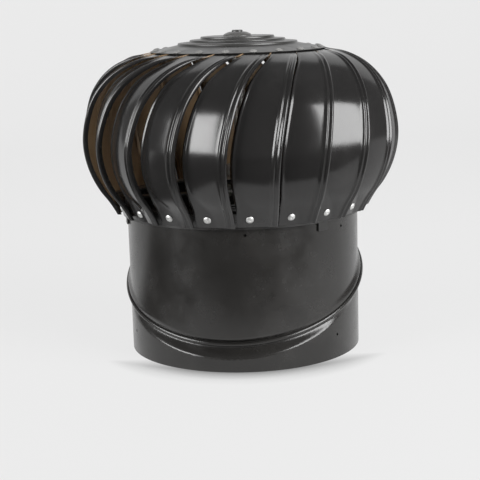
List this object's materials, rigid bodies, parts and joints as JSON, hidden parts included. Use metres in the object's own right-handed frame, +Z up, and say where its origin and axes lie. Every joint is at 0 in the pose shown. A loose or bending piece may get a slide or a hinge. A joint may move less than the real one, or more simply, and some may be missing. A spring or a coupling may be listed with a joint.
{
  "type": "roof turbine ventilator",
  "caption": "Wind-driven roof turbine ventilator: a rotor of twisted louvre vanes under a stepped cap, turning on a bracket in a tilting two-piece throat.",
  "frame": {"origin": "centre of the throat's bottom rim, on the rotor's axis", "axes": "+Z up along the rotor's axis, -Y the front, +X to the right seen from the front"},
  "size_m": [0.4052, 0.4052, 0.4084],
  "materials": {
    "lower_throat_paint": "satin charcoal paint on galvanised sheet",
    "upper_throat_paint": "satin charcoal paint on galvanised sheet",
    "vane_paint": "semi-gloss charcoal paint on galvanised sheet",
    "ring_paint": "semi-gloss charcoal paint",
    "cap_paint": "satin charcoal paint on galvanised sheet",
    "crown_paint": "satin charcoal paint",
    "cap_rivet_paint": "rivet heads painted over with the cap",
    "bracket_steel": "painted strap steel",
    "hub_steel": "zinc-plated plate steel",
    "arm_steel": "painted strap steel",
    "rivet_steel": "bright domed rivet heads",
    "housing_aluminium": "turned and die-cast",
    "bearing_steel": "ground bearing steel",
    "ball_steel": "polished bearing steel",
    "cage_brass": "pressed brass",
    "spring_steel": "oiled spring steel",
    "shaft_steel": "turned zinc-plated steel",
    "fastener_steel": "zinc-plated steel"
  },
  "bodies": {
    "throat_base": {"lower_throat": "lower_throat_paint"},
    "swivel_throat": {"upper_throat": "upper_throat_paint", "bracket_leg_1": "bracket_steel", "bracket_leg_2": "bracket_steel", "bracket_leg_3": "bracket_steel", "bracket_hub": "hub_steel", "hub_bolts": "fastener_steel", "hub_nuts": "fastener_steel", "leg_rivets": "rivet_steel", "shaft": "shaft_steel", "shaft_nut": "fastener_steel", "shaft_washer": "fastener_steel", "shaft_snap_ring": "spring_steel", "lower_bearing_inner_race": "bearing_steel", "upper_bearing_inner_race": "bearing_steel"},
    "rotor": {"lower_bearing_outer_race": "bearing_steel", "upper_bearing_outer_race": "bearing_steel", "lower_bearing_housing": "housing_aluminium", "upper_bearing_housing": "housing_aluminium", "housing_snap_ring": "spring_steel", "spider_arm_1": "arm_steel", "spider_arm_2": "arm_steel", "spider_arm_3": "arm_steel", "spider_arm_4": "arm_steel", "arm_bolts": "fastener_steel", "arm_nuts": "fastener_steel", "bottom_ring": "ring_paint", "vane_01": "vane_paint", "vane_02": "vane_paint", "vane_03": "vane_paint", "vane_04": "vane_paint", "vane_05": "vane_paint", "vane_06": "vane_paint", "vane_07": "vane_paint", "vane_08": "vane_paint", "vane_09": "vane_paint", "vane_10": "vane_paint", "vane_11": "vane_paint", "vane_12": "vane_paint", "vane_13": "vane_paint", "vane_14": "vane_paint", "vane_15": "vane_paint", "vane_16": "vane_paint", "vane_17": "vane_paint", "vane_18": "vane_paint", "vane_19": "vane_paint", "vane_20": "vane_paint", "bottom_rivets": "rivet_steel", "cap_rivets": "cap_rivet_paint", "top_cap": "cap_paint", "crown_cover": "crown_paint", "crown_bolt": "fastener_steel"},
    "lower_ball_set": {"lower_bearing_balls": "ball_steel", "lower_bearing_cage": "cage_brass"},
    "upper_ball_set": {"upper_bearing_balls": "ball_steel", "upper_bearing_cage": "cage_brass"}
  },
  "joints": [
    {"name": "varipitch_swivel", "type": "hinge", "parent": "throat_base", "child": "swivel_throat", "pos_m": [0, 0, 0.095], "axis": [-0.0601, -0.4023, 0.9135], "range_deg": [-180, 180]},
    {"name": "turbine_spin", "type": "hinge", "parent": "swivel_throat", "child": "rotor", "pos_m": [0, 0, 0.3], "axis": [0, 0, 1], "continuous": true},
    {"name": "lower_balls_spin", "type": "hinge", "parent": "swivel_throat", "child": "lower_ball_set", "pos_m": [0, 0, 0.2295], "axis": [0, 0, 1], "continuous": true},
    {"name": "upper_balls_spin", "type": "hinge", "parent": "swivel_throat", "child": "upper_ball_set", "pos_m": [0, 0, 0.382], "axis": [0, 0, 1], "continuous": true}
  ],
  "couplings": [
    {"joint": "lower_balls_spin", "follows": "turbine_spin", "ratio": 0.5921},
    {"joint": "upper_balls_spin", "follows": "turbine_spin", "ratio": 0.619}
  ]
}
